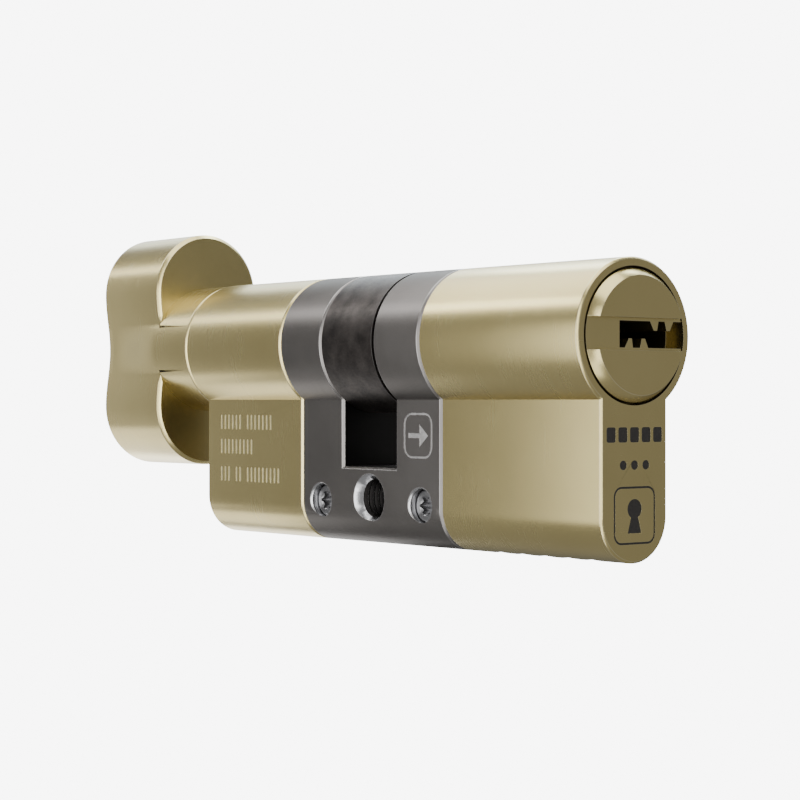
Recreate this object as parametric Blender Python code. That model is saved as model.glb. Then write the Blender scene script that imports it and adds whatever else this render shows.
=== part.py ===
"""A euro-profile lock cylinder: key plug on the +X side, thumbturn on the -X side, steel bridge between.

Metres, +Z up. The X axis is the axis of rotation. The origin is where that axis meets the middle plane
of the cam, which is also the plane of the fixing screw's hole. The flange hangs down, towards -Z.
"""

import math

import bmesh
import bpy
from mathutils import Matrix, Vector

MM = 0.001

# The euro profile: a round barrel on a narrow flange with a half-round foot.
BARREL_R = 8.5 * MM
FLANGE_W = 10.0 * MM
PROFILE_H = 33.0 * MM
EXTERNAL_L = 40.0 * MM  # from the middle of the cam to the key face
INTERNAL_L = 35.0 * MM  # from the middle of the cam to the thumbturn face

# The bridge and what is cut in it.
BRIDGE_L = 27.2 * MM
SLOT_L = 10.2 * MM
SLOT_DEPTH = 15.0 * MM  # from the axis down to the slot's floor
FIXING_R = 2.15 * MM  # bored for an M5 thread
FIXING_UP = 5.7 * MM  # fixing screw's centre above the foot
FIXING_RIM = 0.85 * MM  # how much wider than its bore the hole's countersink is
FIXING_RIM_DEPTH = 1.2 * MM
BRIDGE_BEVEL = 0.3 * MM

# Tongues of the two brass halves, clamped in the bridge by set screws.
TONGUE_L = 7.3 * MM
TONGUE_W = 5.2 * MM
TONGUE_H = 5.8 * MM
CLAMP_UP = 5.15 * MM  # clamp screw's centre above the foot
CLAMP_IN = 3.9 * MM  # clamp screw's centre in from the bridge's end
CLAMP_R = 1.95 * MM
CLAMP_SUNK = 0.9 * MM
CLAMP_L = 3.4 * MM
CLAMP_SOCKET_R = 0.95 * MM
SOCKET_LOBE = 0.14  # half the height of a lobe, as a share of the socket's radius

# Plug, spindle and their bores.
CORE_R = 6.5 * MM
HEAD_STEP = 0.75 * MM  # how far the head stands out of the core
HEAD_L = 1.8 * MM
HEAD_GAP = 0.25 * MM
HEAD_PROUD = 1.1 * MM
HEAD_TAPER = 0.8 * MM  # how much smaller the head's face is than the head
FACE_GROOVE_W = 3.5 * MM
FACE_GROOVE_UP = 0.15 * MM
KEYWAY_W = 2.87 * MM
KEYWAY_UP = 0.13 * MM
KEYWAY_BACK = 2.24 * MM  # how far the closed side of the keyway lies from the axis
KEYWAY_END_X = 9.0 * MM
WARD_H = 1.0 * MM
# Each ward's root and crest, from left to right: root, crest, crest, root.
WARDS_BELOW = ((-1.48, -0.88, -0.40, -0.23), (0.80, 1.06, 1.58, 2.07))
WARDS_ABOVE = ((2.33, 2.91, 3.44, 3.66), (4.58, 4.86, 5.40, 5.93))

# Pin stacks in the key side.
PIN_COUNT = 5
PIN_LAST_IN = 5.6 * MM  # behind the key face
PIN_PITCH = 3.75 * MM
PIN_R = 1.4 * MM
DRIVER_L = 5.5 * MM
DRIVER_WAIST_R = 1.0 * MM
STOPPER_L = 1.9 * MM
STOPPER_SUNK = 0.25 * MM
SPRING_WIRE_R = 0.17 * MM
SPRING_TURNS = 5
KEY_CUTS = (0.2 * MM, 0.7 * MM, 0.0 * MM, 0.5 * MM, 0.3 * MM)

# Cam, clutch and clips.
CAM_TIP_CLEARANCE = 0.3 * MM
CAM_SIDE_CLEARANCE = 0.2 * MM
CAM_ROOT_W = 8.4 * MM
CAM_TIP_W = 6.4 * MM
CAM_WEB_L = 3.0 * MM
CLIP_T = 0.7 * MM
CLIP_DEPTH = 0.7 * MM  # depth of the clip's groove in the core
CLIP_REACH = 1.1 * MM  # how far a clip stands out of the core
CLIP_OPENING = 70.0  # degrees
DOG_W = 3.9 * MM
DOG_IN = 1.1 * MM  # how far the blade's ends lie inside the core's radius
DOG_L = 2.4 * MM
DOG_REST_GAP = 0.5 * MM  # from the web of the cam to the clutch dog, key out
DOG_STEM_R = 1.2 * MM
DOG_STEM_IN = 1.3 * MM  # how far the dog's stem reaches into the keyway
CLUTCH_SPRING_R = 1.7 * MM
CLUTCH_SPRING_L = 9.0 * MM
CLUTCH_TRAVEL = 2.4 * MM

# Thumbturn.
BOSS_R = 8.4 * MM
BOSS_L = 7.4 * MM
KNOB_L = 14.2 * MM
LOBE_R = 8.05 * MM
LOBE_UP = 7.75 * MM
WAIST_HALF = 7.37 * MM
WAIST_RUN_OUT = 9.0 * MM  # how far from the boss the waist starts to widen to it
KNOB_BEVEL = 0.5 * MM
STUB_R = 4.0 * MM
STUB_L = 14.0 * MM
KNOB_SCREW_R = 1.5 * MM
KNOB_SCREW_L = 3.6 * MM
KNOB_SCREW_SOCKET_R = 0.75 * MM

# Hardened pins against drilling.
DRILL_PIN_R = 0.9 * MM
DRILL_PIN_IN = 2.8 * MM  # behind the key face, in the plug
BODY_DRILL_PIN_IN = 2.4 * MM  # behind the key face, in the flange
BODY_DRILL_PIN_DROPS = (10.2 * MM, 13.8 * MM)  # below the axis
BODY_DRILL_PIN_WALL = 2.0 * MM  # flange width less the pin's length

# Clearances.
RUNNING = 0.1 * MM  # radial, round what turns
SLIDING = 0.05 * MM  # radial, round a pin
SEAM = 0.1 * MM  # between fixed pieces, end to end
POCKET = 0.3 * MM  # round a piece let into another
END_BEVEL = 0.15 * MM
EPS = 1.0 * MM  # how far a cutter runs past what it cuts
TINY = 0.0001 * MM

# Flats round a full turn.
ROUND_STEPS = 48
HOLE_STEPS = 20
PIN_STEPS = 14
SOCKET_STEPS = 36
HEX_STEPS = 6
COIL_STEPS = 8
WIRE_STEPS = 4

# Flats on one arc.
BARREL_STEPS = 36
FOOT_STEPS = 16
CLIP_STEPS = 24
LOBE_STEPS = 24
WAIST_STEPS = 12
NOSE_STEPS = 8
RUN_OUT_STEPS = 6

# Places that follow from the sizes above.
FLANGE_HALF = FLANGE_W / 2
FOOT_Z = BARREL_R - PROFILE_H
FOOT_CENTRE_Z = FOOT_Z + FLANGE_HALF
BRIDGE_HALF = BRIDGE_L / 2
SLOT_HALF = SLOT_L / 2
BORE_R = CORE_R + RUNNING
HEAD_R = CORE_R + HEAD_STEP
FACE_R = HEAD_R - HEAD_TAPER
HEAD_BORE_R = HEAD_R + HEAD_GAP
HEAD_SEAT_X = EXTERNAL_L - HEAD_L
CAM_HALF = SLOT_HALF - CAM_SIDE_CLEARANCE
CAM_TIP_R = SLOT_DEPTH - CAM_TIP_CLEARANCE
WEB_HALF = CAM_WEB_L / 2
TAIL_X = WEB_HALF + 2 * RUNNING
CLIP_X = SLOT_HALF + CAM_SIDE_CLEARANCE  # inner face of each clip's groove
CLIP_GROOVE_L = CLIP_T + 2 * RUNNING
CLIP_RECESS_L = CLIP_GROOVE_L + 3 * RUNNING
CLIP_R = CORE_R + CLIP_REACH
DOG_X = WEB_HALF + DOG_REST_GAP
DOG_H = 2 * (CORE_R - DOG_IN)
BODY_DRILL_PIN_L = FLANGE_W - BODY_DRILL_PIN_WALL
CLAMP_X = BRIDGE_HALF - CLAMP_IN
CLAMP_Z = FOOT_Z + CLAMP_UP
FIXING_Z = FOOT_Z + FIXING_UP
CHAMBER_R = PIN_R + SLIDING * 2
KEYWAY_LOW = KEYWAY_UP - KEYWAY_W / 2
KEYWAY_HIGH = KEYWAY_UP + KEYWAY_W / 2
DRIVER_TOP_Z = -(CORE_R + 1.5 * RUNNING)
DRIVER_BOTTOM_Z = DRIVER_TOP_Z - DRIVER_L
STOPPER_BOTTOM_Z = FOOT_Z + STOPPER_SUNK
STOPPER_TOP_Z = STOPPER_BOTTOM_Z + STOPPER_L
KEY_PIN_BOTTOM_Z = -(CORE_R - RUNNING)
BOSS_X = -(INTERNAL_L + 1.5 * SEAM)
KNOB_X = BOSS_X - BOSS_L  # inner face of the grip
PIN_FIRST_X = EXTERNAL_L - PIN_LAST_IN - (PIN_COUNT - 1) * PIN_PITCH
PIN_XS = [PIN_FIRST_X + i * PIN_PITCH for i in range(PIN_COUNT)]

# Turns a shape made along +Z to lie along +X or +Y.
ALONG_X = Matrix(((0, 0, 1), (0, 1, 0), (-1, 0, 0))).to_4x4()
ALONG_Y = Matrix(((1, 0, 0), (0, 0, 1), (0, -1, 0))).to_4x4()
ALONG_Z = Matrix.Identity(4)


def clear_scene():
    for old in list(bpy.data.objects):
        bpy.data.objects.remove(old)


def finish_material(name, colour, roughness):
    material = bpy.data.materials.new(name)
    material.use_nodes = True
    shader = material.node_tree.nodes["Principled BSDF"]
    shader.inputs["Base Color"].default_value = (*colour, 1.0)
    shader.inputs["Metallic"].default_value = 1.0
    shader.inputs["Roughness"].default_value = roughness
    return material


def new_object(name, bm, material=None, at=(0, 0, 0)):
    """An object whose mesh is bm, with its origin at the point given."""
    bmesh.ops.recalc_face_normals(bm, faces=bm.faces)
    mesh = bpy.data.meshes.new(name)
    bm.to_mesh(mesh)
    bm.free()
    mesh.shade_smooth()
    mesh.set_sharp_from_angle(angle=math.radians(30))
    made = bpy.data.objects.new(name, mesh)
    made.location = at
    bpy.context.scene.collection.objects.link(made)
    if material:
        mesh.materials.append(material)
    return made


def helper(name, bm, at=(0, 0, 0)):
    """A cutter or a shape to be joined on: it is not a piece of the lock."""
    made = new_object(name, bm, at=at)
    made.hide_render = True
    made.display_type = "WIRE"
    return made


def combine(target, other, operation):
    modifier = target.modifiers.new(other.name, "BOOLEAN")
    modifier.operation = operation
    modifier.solver = "EXACT"
    modifier.object = other


def cut(target, *cutters):
    for cutter in cutters:
        combine(target, cutter, "DIFFERENCE")


def join(target, *others):
    for other in others:
        combine(target, other, "UNION")


def arc(centre_y, centre_z, radius, start, end, steps):
    """Points (y, z) on an arc, its ends included. Angles are in degrees from +Y towards +Z."""
    angles = [math.radians(start + (end - start) * i / steps) for i in range(steps + 1)]
    return [(centre_y + radius * math.cos(a), centre_z + radius * math.sin(a)) for a in angles]


def close_tube(bm, rings):
    """Faces from each ring of vertices to the next, and one across each end. Returns the two ends."""
    for lower, upper in zip(rings, rings[1:]):
        for i in range(len(lower)):
            j = (i + 1) % len(lower)
            bm.faces.new((lower[i], lower[j], upper[j], upper[i]))
    return [bm.faces.new(rings[0]), bm.faces.new(rings[-1])]


def loft(sections, bevel=0.0):
    """A tube through sections of (x, outline), its end rims bevelled. An outline is (y, z) points."""
    bm = bmesh.new()
    rings = [[bm.verts.new((x, y, z)) for y, z in outline] for x, outline in sections]
    ends = close_tube(bm, rings)
    if bevel:
        rims = {edge for end in ends for edge in end.edges}
        bmesh.ops.bevel(bm, geom=list(rims), offset=bevel, segments=1, affect="EDGES")
    return bm


def prism(outline, x0, x1, bevel=0.0):
    """An outline of (y, z) points extruded from x0 to x1, with both end rims bevelled."""
    return loft([(x0, outline), (x1, outline)], bevel)


def turned(profile, steps=ROUND_STEPS, direction=ALONG_X):
    """A profile of (distance along the axis, radius) points turned all the way round it."""
    bm = bmesh.new()
    rings = []
    for along, radius in profile:
        angles = [2 * math.pi * i / steps for i in range(steps)]
        points = [Vector((radius * math.cos(a), radius * math.sin(a), along)) for a in angles]
        rings.append([bm.verts.new(direction @ point) for point in points])
    close_tube(bm, rings)
    return bm


def box(x0, x1, y0, y1, z0, z1):
    return prism([(y0, z0), (y1, z0), (y1, z1), (y0, z1)], x0, x1)


def coil(radius, wire_r, length, turns, direction=ALONG_Z):
    """A helical spring from 0 to its length along its axis, wire and all."""
    bm = bmesh.new()
    rise = (length - 2 * wire_r) / turns
    rings = []
    for i in range(turns * COIL_STEPS + 1):
        angle = 2 * math.pi * i / COIL_STEPS
        outward = Vector((math.cos(angle), math.sin(angle), 0))
        centre = outward * radius + Vector((0, 0, wire_r + rise * i / COIL_STEPS))
        ring = []
        for k in range(WIRE_STEPS):
            turn = 2 * math.pi * k / WIRE_STEPS
            offset = outward * (wire_r * math.cos(turn)) + Vector((0, 0, wire_r * math.sin(turn)))
            ring.append(bm.verts.new(direction @ (centre + offset)))
        rings.append(ring)
    close_tube(bm, rings)
    return bm


def euro_outline():
    """The euro profile: the barrel's arc, then the flange's two sides and its half-round foot."""
    join_angle = math.degrees(math.acos(FLANGE_HALF / BARREL_R))
    barrel = arc(0, 0, BARREL_R, -join_angle, 180 + join_angle, BARREL_STEPS)
    return barrel + arc(0, FOOT_CENTRE_Z, FLANGE_HALF, 180, 360, FOOT_STEPS)


def lobed_socket(radius, depth):
    """A six-lobed driver socket, from its mouth at the origin along +Y."""
    bm = bmesh.new()
    rings = []
    for y in (-EPS, depth):
        ring = []
        for i in range(SOCKET_STEPS):
            a = 2 * math.pi * i / SOCKET_STEPS
            r = radius * (1 - SOCKET_LOBE + SOCKET_LOBE * math.cos(6 * a))
            ring.append(bm.verts.new((r * math.cos(a), y, r * math.sin(a))))
        rings.append(ring)
    close_tube(bm, rings)
    return bm


def tongue(side, grow=0.0):
    """The block that a brass half puts into the bridge. side is +1 on the key side, -1 on the other."""
    inner = BRIDGE_HALF - TONGUE_L - grow
    half_w = TONGUE_W / 2 + grow
    half_h = TONGUE_H / 2 + grow
    x0, x1 = sorted((side * inner, side * (BRIDGE_HALF + EPS)))
    return box(x0, x1, -half_w, half_w, CLAMP_Z - half_h, CLAMP_Z + half_h)


def clamp_seat(side):
    """The pit in a tongue that the clamp screw's point presses in."""
    mouth = -TONGUE_W / 2 - EPS
    tip = -FLANGE_HALF + CLAMP_SUNK + CLAMP_L + POCKET
    seat_r = CLAMP_R + POCKET / 2
    profile = [(mouth, seat_r), (tip - CLAMP_R / 2, seat_r), (tip, CLAMP_R / 2)]
    bm = turned(profile, HOLE_STEPS, ALONG_Y)
    return helper("clamp_seat", bm, at=(side * CLAMP_X, 0, CLAMP_Z))


def external_body(brass):
    start = BRIDGE_HALF + SEAM
    body = new_object("external_body", prism(euro_outline(), start, EXTERNAL_L, END_BEVEL), brass)
    join(body, helper("external_tongue", tongue(+1)))
    bore = [
        (start - TONGUE_L, BORE_R),
        (HEAD_SEAT_X, BORE_R),
        (HEAD_SEAT_X, HEAD_BORE_R),
        (EXTERNAL_L + EPS, HEAD_BORE_R),
    ]
    cut(body, helper("plug_bore", turned(bore)), clamp_seat(+1))
    for x in PIN_XS:
        chamber = turned([(FOOT_Z - EPS, CHAMBER_R), (-CORE_R + EPS, CHAMBER_R)], HOLE_STEPS, ALONG_Z)
        cut(body, helper("chamber", chamber, at=(x, 0, 0)))
    for drop in BODY_DRILL_PIN_DROPS:
        hole_r = DRILL_PIN_R + SLIDING
        deep = FLANGE_HALF - BODY_DRILL_PIN_L - POCKET
        hole = turned([(deep, hole_r), (FLANGE_HALF + EPS, hole_r)], PIN_STEPS, ALONG_Y)
        cut(body, helper("drill_pin_hole", hole, at=(EXTERNAL_L - BODY_DRILL_PIN_IN, 0, -drop)))
    return body


def internal_body(brass):
    start = BRIDGE_HALF + SEAM
    body = new_object("internal_body", prism(euro_outline(), -INTERNAL_L, -start, END_BEVEL), brass)
    join(body, helper("internal_tongue", tongue(-1)))
    bore = [(-INTERNAL_L - EPS, BORE_R), (-start + TONGUE_L, BORE_R)]
    cut(body, helper("spindle_bore", turned(bore)), clamp_seat(-1))
    return body


def slotted_bridge_mesh():
    """The profile from end to end of the bridge, open above the slot's floor between its two rings."""
    bm = prism(euro_outline(), -BRIDGE_HALF, BRIDGE_HALF)
    side_cuts = [((x, 0, 0), (1, 0, 0)) for x in (-SLOT_HALF, SLOT_HALF)]
    for point, normal in side_cuts + [((0, 0, -SLOT_DEPTH), (0, 0, 1))]:
        geometry = bm.verts[:] + bm.edges[:] + bm.faces[:]
        bmesh.ops.bisect_plane(bm, geom=geometry, dist=TINY, plane_co=point, plane_no=normal)
    upper = [
        face
        for face in bm.faces
        if abs(face.calc_center_median().x) < SLOT_HALF and face.calc_center_median().z > -SLOT_DEPTH
    ]
    bmesh.ops.delete(bm, geom=upper, context="FACES")
    corners = {}
    for vertex in bm.verts:
        at = vertex.co
        if on_plane(at.x, SLOT_HALF) and on_plane(at.z, SLOT_DEPTH):
            corners[(at.x > 0, at.y > 0)] = vertex
    for side in (False, True):
        bm.edges.new((corners[(side, False)], corners[(side, True)]))
    open_edges = [edge for edge in bm.edges if edge.is_boundary or edge.is_wire]
    for side in (False, True):
        ring = [edge for edge in open_edges if all((v.co.x > 0) == side for v in edge.verts)]
        bmesh.ops.contextual_create(bm, geom=ring)
    round_the_floor = ((False, False), (True, False), (True, True), (False, True))
    bm.faces.new([corners[key] for key in round_the_floor])
    bmesh.ops.recalc_face_normals(bm, faces=bm.faces)
    rims = [edge for edge in bm.edges if is_bridge_rim(edge)]
    bmesh.ops.bevel(bm, geom=rims, offset=BRIDGE_BEVEL, segments=1, affect="EDGES")
    return bm


def on_plane(value, distance):
    """Whether a coordinate lies at a distance from the origin, to either side."""
    return abs(abs(value) - distance) < TINY


def is_bridge_rim(edge):
    """The bridge's outer end rims, the rings' rims at the slot, and the two long edges of its floor."""
    a, b = (vertex.co for vertex in edge.verts)
    at_end = all(on_plane(p.x, BRIDGE_HALF) for p in (a, b))
    at_ring = all(on_plane(p.x, SLOT_HALF) for p in (a, b)) and a.x * b.x > 0
    on_floor = all(on_plane(p.z, SLOT_DEPTH) for p in (a, b))
    across = abs(a.y - b.y) > FLANGE_HALF
    below = min(a.z, b.z) < -SLOT_DEPTH - TINY
    along_floor = on_floor and a.x * b.x < 0 and on_plane(a.y, FLANGE_HALF)
    return (at_end and not across) or (at_ring and not across and not below) or along_floor


def centre_bridge(steel):
    body = new_object("centre_bridge", slotted_bridge_mesh(), steel)
    bore = turned([(-BRIDGE_HALF - EPS, BORE_R), (BRIDGE_HALF + EPS, BORE_R)])
    reach = SLOT_HALF + CLIP_RECESS_L
    recess = turned([(-reach, CLIP_R + POCKET), (reach, CLIP_R + POCKET)])
    rim_r = FIXING_R + FIXING_RIM
    fixing = [
        (-FLANGE_HALF - EPS, rim_r),
        (-FLANGE_HALF, rim_r),
        (-FLANGE_HALF + FIXING_RIM_DEPTH, FIXING_R),
        (FLANGE_HALF - FIXING_RIM_DEPTH, FIXING_R),
        (FLANGE_HALF, rim_r),
        (FLANGE_HALF + EPS, rim_r),
    ]
    cut(body, helper("bridge_bore", bore), helper("clip_recess", recess))
    cut(body, helper("fixing_hole", turned(fixing, HOLE_STEPS, ALONG_Y), at=(0, 0, FIXING_Z)))
    for side in (+1, -1):
        cut(body, helper("pocket", tongue(side, POCKET)))
        hole_r = CLAMP_R + SLIDING
        mouth = hole_r + CLAMP_SUNK / 4
        hole = [
            (-FLANGE_HALF - CLAMP_SUNK, mouth + CLAMP_SUNK),
            (-FLANGE_HALF + CLAMP_SUNK / 4, hole_r),
            (-TONGUE_W / 2, hole_r),
        ]
        screw_hole = turned(hole, HOLE_STEPS, ALONG_Y)
        cut(body, helper("clamp_hole", screw_hole, at=(side * CLAMP_X, 0, CLAMP_Z)))
    return body


def clamp_screw(name, side, steel):
    end = -FLANGE_HALF + CLAMP_SUNK
    point = end + CLAMP_L
    profile = [
        (end, CLAMP_R - END_BEVEL),
        (end + END_BEVEL, CLAMP_R),
        (point - CLAMP_R / 2, CLAMP_R),
        (point, CLAMP_R / 2),
    ]
    at = (side * CLAMP_X, 0, CLAMP_Z)
    screw = new_object(name, turned(profile, HOLE_STEPS, ALONG_Y), steel, at=at)
    socket = lobed_socket(CLAMP_SOCKET_R, CLAMP_L / 3)
    cut(screw, helper("clamp_socket", socket, at=(at[0], end, at[2])))


def keyway_outline():
    """The keyway's section: a flat slot, open to the plug's +Y side, two wards below and two above."""
    right = HEAD_R + EPS
    heights = (0, WARD_H, WARD_H, 0)
    points = [(-KEYWAY_BACK, KEYWAY_LOW)]
    for ward in WARDS_BELOW:
        points += [(y * MM, KEYWAY_LOW + h) for y, h in zip(ward, heights)]
    points += [(right, KEYWAY_LOW), (right, KEYWAY_HIGH)]
    for ward in reversed(WARDS_ABOVE):
        points += [(y * MM, KEYWAY_HIGH - h) for y, h in zip(reversed(ward), heights)]
    return points + [(-KEYWAY_BACK, KEYWAY_HIGH)]


def key_plug(brass):
    groove_r = CORE_R - CLIP_DEPTH
    front = EXTERNAL_L + HEAD_PROUD
    profile = [
        (TAIL_X, CORE_R - POCKET),
        (TAIL_X + POCKET, CORE_R),
        (CLIP_X, CORE_R),
        (CLIP_X, groove_r),
        (CLIP_X + CLIP_GROOVE_L, groove_r),
        (CLIP_X + CLIP_GROOVE_L, CORE_R),
        (HEAD_SEAT_X + RUNNING, CORE_R),
        (HEAD_SEAT_X + RUNNING, HEAD_R),
        (EXTERNAL_L, HEAD_R),
        (front, FACE_R),
    ]
    plug = new_object("key_plug", turned(profile), brass)
    low = FACE_GROOVE_UP - FACE_GROOVE_W / 2
    groove = box(EXTERNAL_L, front + EPS, -HEAD_BORE_R, HEAD_BORE_R, low, low + FACE_GROOVE_W)
    keyway = prism(keyway_outline(), KEYWAY_END_X, front + EPS)
    cut(plug, helper("face_groove", groove), helper("keyway", keyway))
    for x in PIN_XS:
        top = KEYWAY_LOW + WARD_H + POCKET
        bore = turned([(-CORE_R - EPS, PIN_R + SLIDING), (top, PIN_R + SLIDING)], HOLE_STEPS, ALONG_Z)
        cut(plug, helper("pin_bore", bore, at=(x, 0, 0)))
    slot_end = DOG_X + DOG_L + POCKET
    half = DOG_W / 2 + SLIDING * 2
    slot = box(TAIL_X - EPS, slot_end, -half, half, -CORE_R - EPS, CORE_R + EPS)
    stem_end = KEYWAY_END_X + DOG_STEM_IN + POCKET
    stem = turned([(slot_end - EPS, DOG_STEM_R + RUNNING), (stem_end, DOG_STEM_R + RUNNING)], HOLE_STEPS)
    cut(plug, helper("tail_slot", slot), helper("stem_bore", stem))
    hole_r = DRILL_PIN_R + SLIDING
    for side, floor in ((+1, KEYWAY_HIGH + WARD_H), (-1, KEYWAY_LOW - WARD_H)):
        low, high = sorted((floor, side * (CORE_R + EPS)))
        hole = turned([(low, hole_r), (high, hole_r)], PIN_STEPS, ALONG_Z)
        cut(plug, helper("drill_pin_bore", hole, at=(EXTERNAL_L - DRILL_PIN_IN, 0, 0)))
    return plug


def turn_spindle(brass):
    groove_r = CORE_R - CLIP_DEPTH
    profile = [
        (BOSS_X - STUB_L, STUB_R - POCKET),
        (BOSS_X - STUB_L + POCKET, STUB_R),
        (BOSS_X + SEAM, STUB_R),
        (BOSS_X + SEAM, CORE_R),
        (-CLIP_X - CLIP_GROOVE_L, CORE_R),
        (-CLIP_X - CLIP_GROOVE_L, groove_r),
        (-CLIP_X, groove_r),
        (-CLIP_X, CORE_R),
        (-TAIL_X - POCKET, CORE_R),
        (-TAIL_X, CORE_R - POCKET),
    ]
    spindle = new_object("turn_spindle", turned(profile), brass)
    half_w, half_h = DOG_W / 2, DOG_H / 2
    tang_end = DOG_X - CLUTCH_TRAVEL - POCKET
    tang = box(-TAIL_X - EPS, tang_end, -half_w, half_w, -half_h, half_h)
    join(spindle, helper("tang", tang))
    spring_hole_r = CLUTCH_SPRING_R + SPRING_WIRE_R + POCKET
    deep = DOG_X - CLUTCH_SPRING_L - CLUTCH_TRAVEL - POCKET
    cut(spindle, helper("spring_hole", turned([(deep, spring_hole_r), (EPS, spring_hole_r)], HOLE_STEPS)))
    return spindle


def clip(name, x, steel):
    """An open ring in the groove of a core, its opening at the top."""
    inner = CORE_R - CLIP_DEPTH + RUNNING
    half = CLIP_OPENING / 2
    outer_arc = arc(0, 0, CLIP_R, 90 + half, 450 - half, CLIP_STEPS)
    inner_arc = arc(0, 0, inner, 90 + half, 450 - half, CLIP_STEPS)
    return new_object(name, prism(outer_arc + inner_arc[::-1], x, x + CLIP_T), steel)


def cam(steel):
    """The hub ring and its nose, which points to +Y with the thumbturn upright."""
    root = math.degrees(math.asin(CAM_ROOT_W / 2 / BARREL_R))
    tip = math.degrees(math.asin(CAM_TIP_W / 2 / CAM_TIP_R))
    hub = arc(0, 0, BARREL_R, root, 360 - root, BARREL_STEPS)
    outline = hub + arc(0, 0, CAM_TIP_R, -tip, tip, NOSE_STEPS)
    body = new_object("cam", prism(outline, -CAM_HALF, CAM_HALF, END_BEVEL), steel)
    outside = CAM_HALF + EPS
    plug_seat = turned([(WEB_HALF, BORE_R), (outside, BORE_R)])
    spindle_seat = turned([(-outside, BORE_R), (-WEB_HALF, BORE_R)])
    cut(body, helper("plug_seat", plug_seat), helper("spindle_seat", spindle_seat))
    half_w = DOG_W / 2 + RUNNING
    half_h = DOG_H / 2 + RUNNING
    cut(body, helper("web_slot", box(-WEB_HALF - EPS, WEB_HALF + EPS, -half_w, half_w, -half_h, half_h)))
    return body


def clutch_dog(steel):
    """The blade that slides in the plug's tail slot, with the stem that a key's tip pushes."""
    half_w, half_h = DOG_W / 2, DOG_H / 2
    dog = new_object("clutch_dog", box(DOG_X, DOG_X + DOG_L, -half_w, half_w, -half_h, half_h), steel)
    tip = KEYWAY_END_X + DOG_STEM_IN
    stem = [(DOG_X + DOG_L / 2, DOG_STEM_R), (tip - DOG_STEM_R / 2, DOG_STEM_R), (tip, DOG_STEM_R / 2)]
    join(dog, helper("dog_stem", turned(stem, HOLE_STEPS)))
    return dog


def clutch_spring(steel):
    bm = coil(CLUTCH_SPRING_R, SPRING_WIRE_R, CLUTCH_SPRING_L - SEAM, SPRING_TURNS, ALONG_X)
    new_object("clutch_spring", bm, steel, at=(DOG_X - CLUTCH_SPRING_L, 0, 0))


def pin_stack(number, x, cut_depth, brass, steel):
    """One chamber's pieces from the keyway down: key pin, driver pin, spring and stopper."""
    tip = KEYWAY_LOW + cut_depth + POCKET
    foot_r = PIN_R - 2 * RUNNING
    key_profile = [
        (KEY_PIN_BOTTOM_Z, foot_r),
        (KEY_PIN_BOTTOM_Z + 2 * RUNNING, PIN_R),
        (tip - PIN_R / 2, PIN_R),
        (tip, PIN_R / 2),
    ]
    new_object(f"key_pin_{number}", turned(key_profile, PIN_STEPS, ALONG_Z), brass, at=(x, 0, 0))
    shoulder = DRIVER_L / 4
    driver_profile = [
        (DRIVER_BOTTOM_Z, PIN_R),
        (DRIVER_BOTTOM_Z + shoulder, PIN_R),
        (DRIVER_BOTTOM_Z + shoulder + POCKET, DRIVER_WAIST_R),
        (DRIVER_TOP_Z - shoulder - POCKET, DRIVER_WAIST_R),
        (DRIVER_TOP_Z - shoulder, PIN_R),
        (DRIVER_TOP_Z - RUNNING, PIN_R),
        (DRIVER_TOP_Z, PIN_R - RUNNING),
    ]
    new_object(f"driver_pin_{number}", turned(driver_profile, PIN_STEPS, ALONG_Z), steel, at=(x, 0, 0))
    length = DRIVER_BOTTOM_Z - STOPPER_TOP_Z - 2 * SEAM
    spring = coil(PIN_R - 2 * SPRING_WIRE_R, SPRING_WIRE_R, length, SPRING_TURNS)
    new_object(f"pin_spring_{number}", spring, steel, at=(x, 0, STOPPER_TOP_Z + SEAM))
    stopper_r = CHAMBER_R - SLIDING
    stopper = turned([(STOPPER_BOTTOM_Z, stopper_r), (STOPPER_TOP_Z, stopper_r)], HOLE_STEPS, ALONG_Z)
    new_object(f"chamber_stopper_{number}", stopper, brass, at=(x, 0, 0))


def waist_half(z, run_out):
    """Half the grip's width at height z, from the plain waist to the boss's width as run_out goes to 1."""
    rise = (1 - math.cos(math.pi * z / LOBE_UP)) / 2
    plain = WAIST_HALF + (LOBE_R - WAIST_HALF) * rise
    boss = math.sqrt(max(BOSS_R**2 - z**2, 0))
    return plain + max(boss - plain, 0) * run_out


def knob_outline(run_out):
    """The grip's section: two round lobes with a shallow waist between them."""
    heights = [LOBE_UP * (1 - 2 * i / WAIST_STEPS) for i in range(1, WAIST_STEPS)]
    right = [(waist_half(z, run_out), z) for z in heights]
    left = [(-y, z) for y, z in right]
    upper = arc(0, LOBE_UP, LOBE_R, 0, 180, LOBE_STEPS)
    lower = arc(0, -LOBE_UP, LOBE_R, 180, 360, LOBE_STEPS)
    return upper + left + lower + right[::-1]


def thumbturn_knob(brass):
    sections = [(KNOB_X - KNOB_L, knob_outline(0))]
    for i in range(RUN_OUT_STEPS + 1):
        t = i / RUN_OUT_STEPS
        sections.append((KNOB_X - WAIST_RUN_OUT * (1 - t), knob_outline(t * t * (3 - 2 * t))))
    knob = new_object("thumbturn_knob", loft(sections, KNOB_BEVEL), brass)
    boss_start = KNOB_X - KNOB_BEVEL - POCKET
    boss = [(boss_start, BOSS_R), (BOSS_X - END_BEVEL, BOSS_R), (BOSS_X, BOSS_R - END_BEVEL)]
    join(knob, helper("boss", turned(boss)))
    hole_r = STUB_R + SLIDING
    stub_hole = turned([(BOSS_X - STUB_L - POCKET, hole_r), (BOSS_X + EPS, hole_r)])
    hole_r = KNOB_SCREW_R + SLIDING
    screw_hole = turned([(-BOSS_R - EPS, hole_r), (-STUB_R + POCKET, hole_r)], PIN_STEPS, ALONG_Z)
    screw_at = (BOSS_X - BOSS_L / 2, 0, 0)
    cut(knob, helper("stub_hole", stub_hole), helper("knob_screw_hole", screw_hole, at=screw_at))
    return knob


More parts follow.
